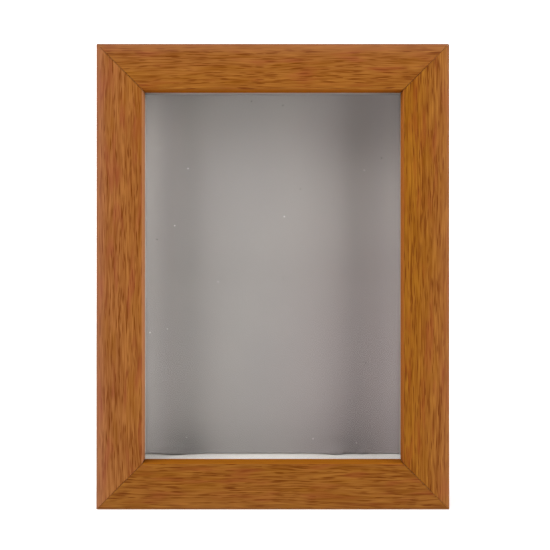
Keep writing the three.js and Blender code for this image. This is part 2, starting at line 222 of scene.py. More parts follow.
class Surface:
    """A node material with one Principled shader, built with short calls."""

    def __init__(self, name, roughness=0.5, metallic=0.0, specular=0.5):
        self.material = bpy.data.materials.new(name)
        self.material.use_nodes = True
        self.tree = self.material.node_tree
        self.shader = self.tree.nodes["Principled BSDF"]
        self.shader.inputs["Roughness"].default_value = roughness
        self.shader.inputs["Metallic"].default_value = metallic
        self.shader.inputs["Specular IOR Level"].default_value = specular
        coordinates = self.tree.nodes.new("ShaderNodeTexCoord")
        self.place = coordinates.outputs["Object"]

    def node(self, kind, **settings):
        made = self.tree.nodes.new(kind)
        for key, value in settings.items():
            setattr(made, key, value)
        return made

    def feed(self, socket, value):
        if isinstance(value, bpy.types.NodeSocket):
            self.tree.links.new(value, socket)
        else:
            socket.default_value = value

    def scaled(self, sizes_mm, shift=(0, 0, 0)):
        """Object coordinates in units of the given sizes, in millimetres, along X, Y and Z."""
        mapping = self.node("ShaderNodeMapping")
        self.feed(mapping.inputs["Vector"], self.place)
        mapping.inputs["Scale"].default_value = [1 / (size * MM) for size in sizes_mm]
        mapping.inputs["Location"].default_value = shift
        return mapping.outputs["Vector"]

    def noise(self, sizes_mm, shift=(0, 0, 0), detail=2.0, rough=0.5, distortion=0.0):
        made = self.node("ShaderNodeTexNoise")
        self.feed(made.inputs["Vector"], self.scaled(sizes_mm, shift))
        made.inputs["Scale"].default_value = 1.0
        made.inputs["Detail"].default_value = detail
        made.inputs["Roughness"].default_value = rough
        made.inputs["Distortion"].default_value = distortion
        return made.outputs["Fac"]

    def cells(self, vector, dimensions="3D"):
        """Scattered cells: the distance to the nearest middle, and random Red, Green and Blue for each."""
        made = self.node("ShaderNodeTexVoronoi", voronoi_dimensions=dimensions)
        self.feed(made.inputs["Vector"], vector)
        made.inputs["Scale"].default_value = 1.0
        chance = self.node("ShaderNodeSeparateColor")
        self.feed(chance.inputs["Color"], made.outputs["Color"])
        return made.outputs["Distance"], chance.outputs

    def axes(self):
        """X, Y and Z of the object coordinates."""
        split = self.node("ShaderNodeSeparateXYZ")
        self.feed(split.inputs["Vector"], self.place)
        return split.outputs

    def math(self, operation, a, b=0.0, c=0.0, clamp=False):
        made = self.node("ShaderNodeMath", operation=operation, use_clamp=clamp)
        for socket, value in zip(made.inputs, (a, b, c)):
            self.feed(socket, value)
        return made.outputs["Value"]

    def remap(self, value, low, high, to_low=0.0, to_high=1.0, smooth=True):
        made = self.node("ShaderNodeMapRange", interpolation_type="SMOOTHSTEP" if smooth else "LINEAR")
        self.feed(made.inputs["Value"], value)
        made.inputs["From Min"].default_value = low
        made.inputs["From Max"].default_value = high
        made.inputs["To Min"].default_value = to_low
        made.inputs["To Max"].default_value = to_high
        return made.outputs["Result"]

    def mix(self, factor, a, b, blend="MIX"):
        made = self.node("ShaderNodeMix", data_type="RGBA", blend_type=blend)
        self.feed(made.inputs["Factor"], factor)
        self.feed(made.inputs[6], a)
        self.feed(made.inputs[7], b)
        return made.outputs[2]

    def bump(self, height, distance_mm):
        made = self.node("ShaderNodeBump")
        self.feed(made.inputs["Height"], height)
        made.inputs["Distance"].default_value = distance_mm * MM
        self.feed(self.shader.inputs["Normal"], made.outputs["Normal"])

    def colour(self, value):
        self.feed(self.shader.inputs["Base Color"], value)

    def roughness(self, value):
        self.feed(self.shader.inputs["Roughness"], value)


def shade(red, green, blue):
    """A display colour from 0 to 255 as scene-linear RGBA."""
    def linear(value):
        value /= 255
        return value / 12.92 if value <= 0.04045 else ((value + 0.055) / 1.055) ** 2.4
    return (linear(red), linear(green), linear(blue), 1.0)


# ---- materials ----


# Foil colours: the deepest and palest grain, the painted sheen on the outer edge and the dirt in the mitres.
GRAIN_DEEP = (98, 44, 2)
GRAIN_PALE = (148, 95, 40)
EDGE_SHEEN = (146, 94, 56)
SEAM_DIRT = (74, 36, 8)
# How each rail's foil differs: its stretch of the print, overall tone, painted sheen on the outer edge,
# blue at the outer and inner sides as a painted bluish sheen, and the lip's painted highlight and shade.
RAIL_LOOKS = {
    "top_rail": {"seed": 1.0, "share": 0.82, "bloom": 0.5, "blue": (1.15, 0.8), "lip": (152, 86, 26)},
    "bottom_rail": {"seed": 2.0, "share": 0.78, "bloom": 0.05, "blue": (0.83, 0.7), "lip": (160, 96, 24)},
    "left_rail": {"seed": 3.0, "share": 0.87, "bloom": 0.5, "blue": (1.5, 1.15), "lip": (164, 112, 76)},
    "right_rail": {"seed": 4.0, "share": 0.83, "bloom": 0.35, "blue": (0.98, 0.42), "lip": (162, 94, 44)},
}
SEED_STEP = Vector((3.7, 1.9, 5.3))
FOIL_ROUGHNESS = 0.42
FOIL_SPECULAR = 0.06
PORE_ROUGHNESS = 0.6
# How far the lip's painted highlight and shade covers its grain.
LIP_PAINT_COVER = 0.65
# The print's layers, each as length and width in millimetres and a shift in the noise, and then a gain for a
# streak, or a cover and a colour for a tint.
DRIFT = (44, 12)
SWAY_MM = 2.4
FIBRES = (11, 0.46)
FIBRE_GAIN, FIBRE_LEVEL = 1.75, 0.6
STREAKS = ((26, 2.0, 3, 0.35), (90, 9, 5, 0.3))
TINTS = ((18, 3.5, 11, 0.4, (132, 64, 34)), (24, 4, 19, 0.3, (124, 74, 6)))
# Pore dashes: after the shift come their reach in a cell and the share of cells that stay empty.
PORES = ((12, 0.8, 31, 0.36, 0.3), (7.5, 0.6, 57, 0.4, 0.35))
PORE_DEPTH = 0.6


class Grain:
    """Noise stretched along one rail's grain: along is 0 for grain along X and 2 for grain along Z."""

    def __init__(self, surface, along, seed):
        self.surface = surface
        self.along = along
        self.start = SEED_STEP * seed

    def sizes(self, length, width):
        return [length if axis == self.along else width for axis in range(3)]

    def noise(self, length, width, shift=0, detail=1):
        return self.surface.noise(self.sizes(length, width), self.start + Vector((shift,) * 3), detail)

    def bend(self):
        """Bends the surface's coordinates a little, so that the grain wanders."""
        s = self.surface
        sway = s.math("MULTIPLY", s.math("SUBTRACT", self.noise(*DRIFT), 0.5), SWAY_MM * MM)
        offset = s.node("ShaderNodeCombineXYZ")
        s.feed(offset.inputs[2 - self.along], sway)
        bent = s.node("ShaderNodeVectorMath", operation="ADD")
        s.feed(bent.inputs[0], s.place)
        s.feed(bent.inputs[1], offset.outputs["Vector"])
        s.place = bent.outputs["Vector"]

    def pores(self):
        """Scattered pore dashes: 1 in a dash and 0 between them."""
        s = self.surface
        pores = 0.0
        for length, width, shift, reach, rarity in PORES:
            place = s.scaled(self.sizes(length, width), self.start + Vector((shift,) * 3))
            distance, chance = s.cells(place)
            near = s.remap(distance, reach, reach * 0.4)
            present = s.remap(chance["Red"], rarity, rarity + 0.3)
            pores = s.math("MAXIMUM", pores, s.math("MULTIPLY", near, present))
        return pores

    def print_tone(self, fibres, pores):
        """The print's colour: fine fibres and broad streaks, dark pores, and ruddy and golden patches."""
        s = self.surface
        level = s.math("MULTIPLY_ADD", s.math("SUBTRACT", fibres, 0.5), FIBRE_GAIN, FIBRE_LEVEL)
        for length, width, shift, gain in STREAKS:
            streak = s.math("SUBTRACT", self.noise(length, width, shift), 0.5)
            level = s.math("ADD", level, s.math("MULTIPLY", streak, gain))
        level = s.math("SUBTRACT", level, s.math("MULTIPLY", pores, PORE_DEPTH), clamp=True)
        tone = s.mix(level, shade(*GRAIN_DEEP), shade(*GRAIN_PALE))
        for length, width, shift, cover, colour in TINTS:
            patch = s.remap(self.noise(length, width, shift), 0.5, 0.72, 0, cover)
            tone = s.mix(patch, tone, shade(*colour))
        return tone


def rail_toning(s, tone, look, gap, depth):
    """Paints a sheen on the outer edge of the front, a paler tone fading inwards, and tints the foil, with
    more blue towards the outer side as painted sheen. gap is the distance from the outer edge and depth the
    row's Y."""
    front = cad_box[0].y
    # Painted sheen: the outer 6 mm of the front is mixed towards a paler tone.
    facing_out = s.remap(depth, front + 3 * MM, front + 1 * MM)
    near_edge = s.math("MULTIPLY", s.remap(gap, 6 * MM, 0.0), facing_out)
    tone = s.mix(s.math("MULTIPLY", near_edge, look["bloom"]), tone, shade(*EDGE_SHEEN))
    tint = s.node("ShaderNodeCombineColor")
    tint.inputs["Red"].default_value = look["share"]
    tint.inputs["Green"].default_value = look["share"]
    # More blue at the outer side than the inner one, as a painted sheen fading inwards.
    blue_outer, blue_inner = (look["share"] * value for value in look["blue"])
    s.feed(tint.inputs["Blue"], s.remap(gap, 2 * MM, 18 * MM, blue_outer, blue_inner))
    return s.mix(1.0, tone, tint.outputs["Color"], "MULTIPLY")


def mitre_dirt(s, gap, from_end, shift):
    """A broken line of dirt along both mitres, stronger towards the opening."""
    from_mitre = s.math("ABSOLUTE", s.math("SUBTRACT", from_end, gap))
    close = s.remap(from_mitre, 0.42 * MM, 0.12 * MM)
    seam = s.math("MULTIPLY", close, s.remap(gap, 3 * MM, 14 * MM, 0.25, 0.9))
    broken = s.remap(s.noise((5, 5, 5), shift, detail=1), 0.35, 0.6, 0.35, 1.0)
    return s.math("MULTIPLY", seam, broken)


def foil(node, inward):
    """Printed and embossed wood-grain foil for one rail. inward points from its outer edge to the opening.
    The lip's inner face is rubbed matt and carries a painted tone per rail, which stands in for its highlight
    and shade."""
    look = RAIL_LOOKS[node]
    across = 0 if abs(inward.x) > 0.5 else 2
    along = 2 - across
    low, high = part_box(node)
    outer = low[across] if inward[across] > 0 else high[across]
    s = Surface(f"{node}_foil", roughness=FOIL_ROUGHNESS, specular=FOIL_SPECULAR)
    axes = s.axes()
    gap = s.math("MULTIPLY", s.math("SUBTRACT", axes[across], outer), inward[across])
    run = s.math("ABSOLUTE", s.math("SUBTRACT", axes[along], (low[along] + high[along]) / 2))
    from_end = s.math("SUBTRACT", outer_half(inward.cross(BACK)), run)
    lip = s.remap(gap, (RAIL_WIDTH_MM - 0.4) * MM, (RAIL_WIDTH_MM - 0.05) * MM)

    grain = Grain(s, along, look["seed"])
    grain.bend()
    fibres = grain.noise(*FIBRES, detail=0.8)
    pores = grain.pores()
    tone = rail_toning(s, grain.print_tone(fibres, pores), look, gap, axes["Y"])
    # Painted highlight and shade on the lip's inner face, a tone per rail.
    tone = s.mix(s.math("MULTIPLY", lip, LIP_PAINT_COVER), tone, shade(*look["lip"]))
    tone = s.mix(mitre_dirt(s, gap, from_end, grain.start), tone, shade(*SEAM_DIRT))
    s.colour(tone)
    s.feed(s.shader.inputs["Specular IOR Level"], s.remap(lip, 0, 1, FOIL_SPECULAR, 0.0))
    s.roughness(s.remap(pores, 0, 1, FOIL_ROUGHNESS, PORE_ROUGHNESS, smooth=False))
    s.bump(s.math("SUBTRACT", s.math("MULTIPLY", fibres, 0.4), pores), 0.03)
    return s.material


def fibreboard(name):
    """Raw pressed wood fibre, as on the cut and unwrapped faces of the rails."""
    s = Surface(name, roughness=0.88, specular=0.25)
    clumps = s.noise((3.5, 3.5, 3.5), detail=3)
    flecks = s.noise((0.5, 0.5, 0.5), detail=4, rough=0.7)
    tone = s.mix(s.remap(clumps, 0.3, 0.7), shade(158, 129, 97), shade(172, 143, 110))
    tone = s.mix(1.0, tone, s.remap(flecks, 0.3, 0.7, 0.8, 1.18), "MULTIPLY")
    s.colour(tone)
    s.bump(flecks, 0.08)
    return s.material


def hardboard(name):
    """The smooth, oiled face of a brown hardboard back panel."""
    s = Surface(name, roughness=0.5, specular=0.35)
    mottle = s.noise((14, 14, 14), detail=5)
    fibres = s.noise((1.3, 0.4, 0.5), detail=4, rough=0.75, distortion=1.6)
    tone = s.mix(s.remap(mottle, 0.3, 0.7), shade(106, 72, 46), shade(116, 80, 51))
    tone = s.mix(s.remap(fibres, 0.5, 0.72), tone, shade(142, 105, 72))
    distance, _ = s.cells(s.scaled((2.6, 2.6, 2.6)))
    specks = s.remap(distance, 0.16, 0.08)
    tone = s.mix(s.math("MULTIPLY", specks, 0.6), tone, shade(62, 40, 26))
    s.colour(tone)
    s.roughness(s.remap(fibres, 0.3, 0.7, 0.42, 0.62))
    s.bump(fibres, 0.05)
    return s.material


def card(name, light, dark):
    """Matt liner card with a slight tooth."""
    s = Surface(name, roughness=0.9, specular=0.25)
    cloud = s.noise((18, 18, 18), detail=2)
    tooth = s.noise((0.35, 0.35, 0.35), detail=3, rough=0.65)
    tone = s.mix(s.remap(cloud, 0.3, 0.7), shade(*dark), shade(*light))
    tone = s.mix(1.0, tone, s.remap(tooth, 0.3, 0.7, 0.96, 1.03), "MULTIPLY")
    s.colour(tone)
    s.bump(tooth, 0.03)
    return s.material


# Painted light and shade on the facing: upright bands of painted shadow and lighter painted edges, as
# (place across, half width, change in tone), how much of each band reaches the top, and the height above the
# foot over which it dies away.
FACING_SHADE_BANDS_MM = (
    (-60.0, 8.0, 0.4, 1.0, 60),
    (-39.0, 6.0, -0.06, 1.0, 60),
    (-40.0, 9.5, -0.36, 0.0, 12),
    (40.0, 5.5, -0.06, 1.0, 60),
    (39.0, 11.0, -0.2, 0.0, 14),
    (60.0, 8.0, 0.27, 1.0, 60),
)

FACING_FOOT_MM = 21
FACING_MAUVE = (1.035, 0.955, 0.98, 1)
# Dust specks: the spacing of the places where one may be, their shift in the noise, the share of places
# that stay clean, and their colour.
DUST = ((27, 4.0, 0.76, (220, 217, 213)), (41, 11.0, 0.5, (84, 80, 78)))
SPECK_RADIUS_MM = 0.42


def facing_light_and_shade(s):
    """A tone to multiply the facing by, painted light and shade: soft upright bands of painted shadow and
    lighter edges, painted shade over the lower half and foot, a lighter top, and a mauve cast towards the
    lower right."""
    axes = s.axes()
    across, height = axes["X"], axes["Z"]
    # Painted shade: darker over the lower half and at the foot, lighter at the top.
    factor = s.remap(height, 76 * MM, 150 * MM, 0.825, 0.92)
    factor = s.math("MULTIPLY", factor, s.remap(height, 19 * MM, 42 * MM, 0.95, 1.03))
    factor = s.math("MULTIPLY", factor, s.remap(height, 176 * MM, 192 * MM, 1.0, 1.06))
    for centre, half, change, share, fade in FACING_SHADE_BANDS_MM:
        away = s.math("DIVIDE", s.math("SUBTRACT", across, centre * MM), half * MM)
        bell = s.math("POWER", math.e, s.math("MULTIPLY", s.math("MULTIPLY", away, away), -1.0))
        above = s.math("DIVIDE", s.math("SUBTRACT", height, FACING_FOOT_MM * MM), fade * MM)
        fading = s.math("POWER", math.e, s.math("MULTIPLY", above, -1.0))
        strength = s.math("MULTIPLY_ADD", fading, 1 - share, share, clamp=True)
        band = s.math("MULTIPLY_ADD", s.math("MULTIPLY", bell, strength), change, 1.0)
        factor = s.math("MULTIPLY", factor, band)
    to_right = s.remap(across, -20 * MM, 50 * MM)
    to_foot = s.remap(height, 150 * MM, 60 * MM, 0.4, 1.0)
    cast = s.mix(s.math("MULTIPLY", to_right, to_foot), (1, 1, 1, 1), FACING_MAUVE)
    return s.mix(1.0, factor, cast, "MULTIPLY")


def dusted(s, tone):
    """Adds dust specks, which are round in the facing's own plane."""
    axes = s.axes()
    sheet = s.node("ShaderNodeCombineXYZ")
    s.feed(sheet.inputs["X"], axes["X"])
    s.feed(sheet.inputs["Y"], axes["Z"])
    for spacing, shift, clean, colour in DUST:
        grid = s.node("ShaderNodeMapping")
        s.feed(grid.inputs["Vector"], sheet.outputs["Vector"])
        grid.inputs["Scale"].default_value = (1 / (spacing * MM),) * 3
        grid.inputs["Location"].default_value = (shift, shift * 2, 0)
        distance, chance = s.cells(grid.outputs["Vector"], dimensions="2D")
        radius = SPECK_RADIUS_MM / spacing
        dot = s.remap(distance, radius, radius / 3)
        present = s.remap(chance["Green"], clean, clean + 0.02)
        tone = s.mix(s.math("MULTIPLY", dot, present), tone, shade(*colour))
    return tone


def facing_paper(name):
    """Smooth warm grey facing with faint clouding, painted light and shade, and a few dust specks."""
    s = Surface(name, roughness=0.92, specular=0.2)
    cloud = s.noise((38, 38, 60), (3, 1, 2), detail=2)
    tone = s.mix(s.remap(cloud, 0.3, 0.7), shade(147, 143, 141), shade(151, 147, 144))
    tooth = s.noise((0.45, 0.45, 0.45), detail=3, rough=0.6)
    tone = s.mix(1.0, tone, s.remap(tooth, 0.3, 0.7, 0.98, 1.02), "MULTIPLY")
    s.colour(s.mix(1.0, dusted(s, tone), facing_light_and_shade(s), "MULTIPLY"))
    s.bump(tooth, 0.005)
    return s.material


def foam_board(name, low_y, high_y):
    """White paper skins on both faces of a foam core, told apart by depth."""
    s = Surface(name, roughness=0.85, specular=0.25)
    depth = s.remap(s.axes()["Y"], low_y, high_y, smooth=False)
    edge = s.math("ABSOLUTE", s.math("SUBTRACT", depth, 0.5))
    skin = s.remap(edge, 0.36, 0.4)
    foam = s.noise((0.7, 0.7, 0.7), detail=3, rough=0.7)
    core = s.mix(s.remap(foam, 0.35, 0.65), shade(206, 202, 194), shade(234, 231, 224))
    paper = s.mix(s.noise((12, 12, 12)), shade(222, 218, 211), shade(232, 229, 222))
    s.colour(s.mix(skin, core, paper))
    s.bump(foam, 0.04)
    return s.material


def zinc(name, grain_mm=(0.25, 6, 6), tint=(176, 178, 182)):
    """Bright zinc-plated sheet steel, with drawn grain and cloudy passivation."""
    s = Surface(name, roughness=0.34, metallic=1.0)
    cloud = s.noise((2.5, 2.5, 2.5), detail=4)
    grain = s.noise(grain_mm, detail=2)
    dark = [value * 0.86 for value in tint]
    tone = s.mix(s.remap(cloud, 0.3, 0.7), shade(*dark), shade(*tint))
    s.colour(tone)
    mixed = s.math("ADD", s.math("MULTIPLY", cloud, 0.6), s.math("MULTIPLY", grain, 0.4))
    s.roughness(s.remap(mixed, 0.3, 0.7, 0.24, 0.46))
    s.bump(mixed, 0.02)
    return s.material


def brass_plate(name):
    """Brass-plated steel, a little cloudy."""
    s = Surface(name, roughness=0.3, metallic=1.0)
    cloud = s.noise((1.2, 1.2, 1.2), detail=3)
    s.colour(s.mix(s.remap(cloud, 0.3, 0.7), shade(168, 130, 62), shade(200, 164, 92)))
    s.roughness(s.remap(cloud, 0.3, 0.7, 0.22, 0.42))
    s.bump(cloud, 0.015)
    return s.material


def bumper_rubber(name):
    """Dull dark rubber with a bloom of dust."""
    s = Surface(name, roughness=0.62, specular=0.4)
    skin = s.noise((0.5, 0.5, 0.5), detail=3)
    dust = s.noise((4, 4, 4), detail=3)
    s.colour(s.mix(s.remap(dust, 0.4, 0.75), shade(44, 41, 39), shade(66, 62, 58)))
    s.roughness(s.remap(dust, 0.3, 0.7, 0.52, 0.74))
    s.bump(skin, 0.03)
    return s.material


GLASS_TINT = (0.984, 0.984, 0.982, 1)
GLASS_GLOSS = 0.01
SMEAR_MM = 1000 / 28


def clear_glass(name):
    """Thin glazing: clear to the lights, with a gloss that grows at a steep slant, and faint smears."""
    s = Surface(name)
    s.tree.nodes.remove(s.shader)
    clear = s.node("ShaderNodeBsdfTransparent")
    clear.inputs["Color"].default_value = GLASS_TINT
    gloss = s.node("ShaderNodeBsdfGlossy")
    smear = s.noise((SMEAR_MM, SMEAR_MM, SMEAR_MM), detail=3)
    s.feed(gloss.inputs["Roughness"], s.remap(smear, 0, 1, 0.02, 0.12, smooth=False))
    slant = s.node("ShaderNodeLayerWeight")
    slant.inputs["Blend"].default_value = 0.5
    steep = s.math("POWER", slant.outputs["Facing"], 5.0)
    mix = s.node("ShaderNodeMixShader")
    s.feed(mix.inputs["Fac"], s.math("MULTIPLY_ADD", steep, 1 - GLASS_GLOSS, GLASS_GLOSS))
    s.feed(mix.inputs[1], clear.outputs["BSDF"])
    s.feed(mix.inputs[2], gloss.outputs["BSDF"])
    s.feed(s.tree.nodes["Material Output"].inputs["Surface"], mix.outputs["Shader"])
    return s.material


# The floor's glow, its extra glow for the camera by the object, and the distances from the object over which
# that grows until the floor is clean white.
FLOOR_GLOW = 0.25
NEAR_GLOW = 0.12
FADE_FROM, FADE_TO = 0.5, 1.4


def studio_white(name):
    """Pale matt floor with a faint glow, which the camera sees fade to clean white away from the object."""
    s = Surface(name, roughness=0.9, specular=0.1)
    cloud = s.noise((400, 400, 400), detail=1)
    s.colour(s.mix(cloud, (0.86, 0.86, 0.86, 1), (0.88, 0.88, 0.88, 1)))
    s.shader.inputs["Emission Color"].default_value = (1, 1, 1, 1)
    away = s.node("ShaderNodeVectorMath", operation="LENGTH")
    s.feed(away.inputs[0], s.place)
    fade = s.remap(away.outputs["Value"], FADE_FROM, FADE_TO, NEAR_GLOW, 1.0 - FLOOR_GLOW)
    seen = s.node("ShaderNodeLightPath").outputs["Is Camera Ray"]
    s.feed(s.shader.inputs["Emission Strength"], s.math("MULTIPLY_ADD", fade, seen, FLOOR_GLOW))
    return s.material


# ---- rails ----


def rail_section():
    """The rail's outline as (distance inwards, distance back, is foil), in millimetres."""
    rear = RAIL_DEPTH_MM
    bare = rear - FOIL_MM
    inner = RAIL_WIDTH_MM
    small = SMALL_ARRIS_MM
    outline = []

    def add(points, wrapped):
        outline.extend((u, v, wrapped) for u, v in points)

    add([(FOIL_WRAP_MM, rear)], True)
    add(arc((small, rear - small), small, 90, 180, 3), True)
    add(arc((OUTER_ARRIS_MM, OUTER_ARRIS_MM), OUTER_ARRIS_MM, 180, 270, 8), True)
    add(arc((inner - INNER_ARRIS_MM, INNER_ARRIS_MM), INNER_ARRIS_MM, 270, 360, 7), True)
    add(arc((inner - small, LIP_MM - small), small, 0, 90, 3), True)
    add([(WALL_MM, LIP_MM)], False)
    add([(WALL_MM, bare - small)], False)
    add([(WALL_MM - small, bare)], False)
    add([(FOIL_WRAP_MM + FOIL_CUT_MM, bare)], True)
    return outline


def inset_outline(outline, amount):
    """Moves each point of the outline into the solid along the corner's bisector."""
    moved = []
    count = len(outline)
    for k, (u, v, _) in enumerate(outline):
        before = Vector(outline[k - 1][:2])
        here = Vector((u, v))
        after = Vector(outline[(k + 1) % count][:2])
        normals = []
        for a, b in ((before, here), (here, after)):
            run = (b - a).normalized()
            normals.append(Vector((run.y, -run.x)))
        bisector = normals[0] + normals[1]
        scale = amount * 2 / max(bisector.length_squared, 1.0)
        moved.append((u + bisector.x * scale, v + bisector.y * scale))
    return moved


def outline_turn(outline):
    """Positive if the outline runs anticlockwise in (inwards, back)."""
    area = 0
    for k, (u, v, _) in enumerate(outline):
        next_u, next_v, _ = outline[(k + 1) % len(outline)]
        area += u * next_v - next_u * v
    return area


def rail(node, inward, gaps_mm, bare):
    """One wrapped rail. inward points from its outer edge to the opening, gaps_mm is how far each mitred
    end falls short of a tight joint, and bare is the material of its unwrapped faces."""
    low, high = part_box(node)
    along = inward.cross(BACK)
    centre = Vector((0, low.y, (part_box("bottom_rail")[0].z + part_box("top_rail")[1].z) / 2))
    reach = max(abs((high - centre).dot(inward)), abs((low - centre).dot(inward)))
    half_length = outer_half(along)
    section = rail_section()
    amount = MITRE_BEVEL_MM if outline_turn(section) < 0 else -MITRE_BEVEL_MM
    narrow = inset_outline(section, amount)
    bm = bmesh.new()

    def ring(points, end, gap, set_back):
        verts = []
        for u, v in points:
            run = end * (half_length - (u + gap + set_back) * MM)
            verts.append(bm.verts.new(centre + inward * (u * MM - reach) + BACK * (v * MM) + along * run))
        return verts

    full = [(u, v) for u, v, _ in section]
    bevel_run = MITRE_BEVEL_MM * math.sqrt(2)
    rings = [
        ring(narrow, -1, gaps_mm[0], 0),
        ring(full, -1, gaps_mm[0], bevel_run),
        ring(full, 1, gaps_mm[1], bevel_run),
        ring(narrow, 1, gaps_mm[1], 0),
    ]
    loft(bm, rings, material_of=lambda k: 0 if section[k][2] else 1)
    for cap in (rings[0], rings[-1]):
        face = bm.faces.new(cap)
        face.material_index = 1
    bmesh.ops.triangulate(bm, faces=[f for f in bm.faces if len(f.verts) > 4])
    return finish_piece(f"{node}_wrapped", bm, [foil(node, inward), bare], "frame", node)


def outer_half(direction):
    """Half the frame's outer size along X or Z, whichever the direction follows."""
    if abs(direction.x) > 0.5:
        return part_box("right_rail")[1].x
    return (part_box("top_rail")[1].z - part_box("bottom_rail")[0].z) / 2


def v_nail_cutter(material):
    """All the V-nail slots as one solid, a little wider than the nails and open at the rear."""
    margin = 0.12 * MM
    thickness = 0.6 * MM
    pane_low, pane_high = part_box("glass_pane")
    bm = bmesh.new()
    for index in range(1, 9):
        low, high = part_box(f"v_nail_{index}")
        middle = (low + high) / 2
        side = math.copysign(1, middle.x)
        level = math.copysign(1, middle.z - (pane_low.z + pane_high.z) / 2)
        x_inner = low.x if side > 0 else high.x
        z_inner = low.z if level > 0 else high.z
        reach = high.x - low.x + margin
        corners = [
            (-margin, -margin),
            (reach, -margin),
            (reach, thickness + margin),
            (thickness + margin, thickness + margin),
            (thickness + margin, reach),
            (-margin, reach),
        ]
        rings = []
        for y in (low.y - margin, high.y + 1 * MM):
            rings.append([bm.verts.new((x_inner + side * u, y, z_inner + level * w)) for u, w in corners])
        loft(bm, rings)
        for cap in rings:
            bm.faces.new(cap)
    bmesh.ops.recalc_face_normals(bm, faces=bm.faces)
    return link_mesh("v_nail_slots", bm, material)


def add_rails():
    """The four rails, with their joints a hair open as real ones are."""
    bare = fibreboard("raw_fibreboard")
    cutter = v_nail_cutter(bare)
    plan = (
        ("top_rail", -UP, (0.03, 0.04)),
        ("bottom_rail", UP, (0.02, 0.02)),
        ("left_rail", RIGHT, (0.03, 0.02)),
        ("right_rail", -RIGHT, (0.04, 0.03)),
    )
    for node, inward, gaps in plan:
        carve(rail(node, inward, gaps, bare), cutter)
    bpy.data.objects.remove(cutter)


# ---- glazing and liner ----


def add_glass():
    """The pane, with its arrises taken off."""
    low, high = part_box("glass_pane")
    bm = bmesh.new()
    box_grid(bm, low, high, (1, 1, 1))
    bevel_sharp(bm, 0.3 * MM, segments=1)
    finish_piece("glass_sheet", bm, [clear_glass("clear_glass")], "frame", "glass_pane")


def add_spacers():
    """Card strips with eased, slightly uneven edges: a white one at the foot, and round it the same card
    painted grey as painted shade.
    """
    white = card("liner_card", (241, 239, 236), (236, 233, 229))
    # Painted shade: the side and top strips are white card painted grey, the top and right ones darker.
    grey = card("liner_card_light_shade", (180, 176, 171), (175, 171, 166))
    shaded = card("liner_card_shaded", (170, 166, 161), (165, 161, 156))
    plan = (("spacer_top", shaded), ("spacer_bottom", white), ("spacer_left", grey), ("spacer_right", shaded))
    cell = 6 * MM
    unevenness = 0.02 * MM
    for node, material in plan:
        low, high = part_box(node)
        size = high - low
        bm = bmesh.new()
        box_grid(bm, low, high, [max(1, round(length / cell)) for length in size])
        for vert in bm.verts:
            wobble = noise.noise(vert.co * 90)
            for axis in range(3):
                inside = low[axis] + 1e-6 < vert.co[axis] < high[axis] - 1e-6
                if not inside:
                    inwards = 1 if vert.co[axis] < (low[axis] + high[axis]) / 2 else -1
                    vert.co[axis] += inwards * unevenness * (1 + wobble)
        bevel_sharp(bm, 0.08 * MM)
        finish_piece(f"{node}_card", bm, [material], "frame", node)


# ---- back set ----

# How far the facing card reaches past its CAD edges at the sides and top, and where its foot has buckled
# forwards: place across, half width and amount. BUCKLE_REACH_MM is how high the buckling goes.
FACING_MARGIN_MM = 0.25
BUCKLES_MM = ((-47.0, 8.0, 3.0), (30.5, 5.5, 2.4), (43.5, 1.8, 1.2))
BUCKLE_REACH_MM = 6


def add_facing():
    """The grey facing card: nearly flat, with a buckled foot that is not quite straight."""
    low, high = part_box("facing_card")
    margin = Vector((FACING_MARGIN_MM * MM, 0, 0))
    low, high = low - margin, high + margin + UP * FACING_MARGIN_MM * MM
    across, upright = 122, 90
    uneven = 0.12 * MM
    bm = bmesh.new()
    rows = []
    for j in range(upright + 1):
        z = low.z + (high.z - low.z) * (j / upright) ** 1.6
        foot = max(0.0, 1 - (z - low.z) / (BUCKLE_REACH_MM * MM)) ** 2
        row = []
        for i in range(across + 1):
            x = low.x + (high.x - low.x) * i / across
            lean = 0.0
            for centre, half, amount in BUCKLES_MM:
                lean += amount * MM * math.exp(-(((x - centre * MM) / (half * MM)) ** 2))
            wave = uneven * noise.noise(Vector((x * 14, 0.3, z * 9)))
            trim = uneven * (1 + noise.noise(Vector((x * 160, 4.0, 0)))) * foot
            row.append(bm.verts.new((x, low.y - abs(wave) - lean * foot, z + trim)))
        rows.append(row)
    for below, above in zip(rows, rows[1:]):
        for i in range(across):
            bm.faces.new((below[i], below[i + 1], above[i + 1], above[i]))
    thicken(bm, BACK * (high.y - low.y))
    finish_piece("facing_sheet", bm, [facing_paper("grey_facing")], "back_set", "facing_card")


def add_board():
    """Foam board: two paper skins and a core that is crushed in a little between them."""
    low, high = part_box("display_board")
    thickness = high.y - low.y
    skin = thickness * 0.13
    dent = 0.15 * MM
    stops = ((0, 0), (skin, 0), (skin, dent), (thickness - skin, dent), (thickness - skin, 0), (thickness, 0))
    bm = bmesh.new()
    rings = []
    for depth, inset in stops:
        ring = []
        for x, z in ((low.x, low.z), (high.x, low.z), (high.x, high.z), (low.x, high.z)):
            dx = inset if x < 0 else -inset
            dz = inset if z == low.z else -inset
            ring.append(bm.verts.new((x + dx, low.y + depth, z + dz)))
        rings.append(ring)
    loft(bm, rings)
    bm.faces.new(rings[0])
    bm.faces.new(rings[-1])
    material = foam_board("foam_board", low.y, high.y)
    finish_piece("foam_display_board", bm, [material], "back_set", "display_board")


